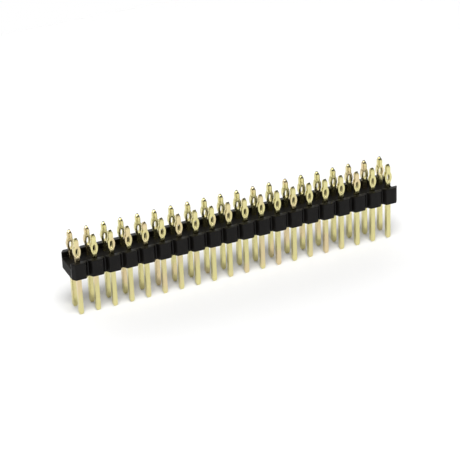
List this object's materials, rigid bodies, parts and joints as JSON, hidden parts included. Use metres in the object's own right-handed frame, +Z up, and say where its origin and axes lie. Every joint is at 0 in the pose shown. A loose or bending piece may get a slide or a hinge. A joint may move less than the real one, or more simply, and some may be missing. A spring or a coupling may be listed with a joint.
{
  "type": "pin header strip",
  "caption": "Straight press-fit pin header strip: a notched, channelled insulator holds rows of square gold pins with needle-eye tails above and plain mating pins below.",
  "frame": {"origin": "middle of the strip on the plane through the blunt ends of the mating pins, which is the surface it stands on", "axes": "+X along the strip from position 1 to the last position, +Y from the front row of pins to the back row, +Z up from the mating pins to the press-fit tails"},
  "size_m": [0.0506, 0.005, 0.0121],
  "materials": {
    "insulator": "satin black moulded thermoplastic",
    "contact": "bright pale gold plating over stamped square copper-alloy wire"
  },
  "bodies": {
    "root": {"insulator": "insulator", "front_pin_01": "contact", "front_pin_02": "contact", "front_pin_03": "contact", "front_pin_04": "contact", "front_pin_05": "contact", "front_pin_06": "contact", "front_pin_07": "contact", "front_pin_08": "contact", "front_pin_09": "contact", "front_pin_10": "contact", "front_pin_11": "contact", "front_pin_12": "contact", "front_pin_13": "contact", "front_pin_14": "contact", "front_pin_15": "contact", "front_pin_16": "contact", "front_pin_17": "contact", "front_pin_18": "contact", "front_pin_19": "contact", "front_pin_20": "contact", "back_pin_01": "contact", "back_pin_02": "contact", "back_pin_03": "contact", "back_pin_04": "contact", "back_pin_05": "contact", "back_pin_06": "contact", "back_pin_07": "contact", "back_pin_08": "contact", "back_pin_09": "contact", "back_pin_10": "contact", "back_pin_11": "contact", "back_pin_12": "contact", "back_pin_13": "contact", "back_pin_14": "contact", "back_pin_15": "contact", "back_pin_16": "contact", "back_pin_17": "contact", "back_pin_18": "contact", "back_pin_19": "contact", "back_pin_20": "contact"}
  },
  "joints": []
}
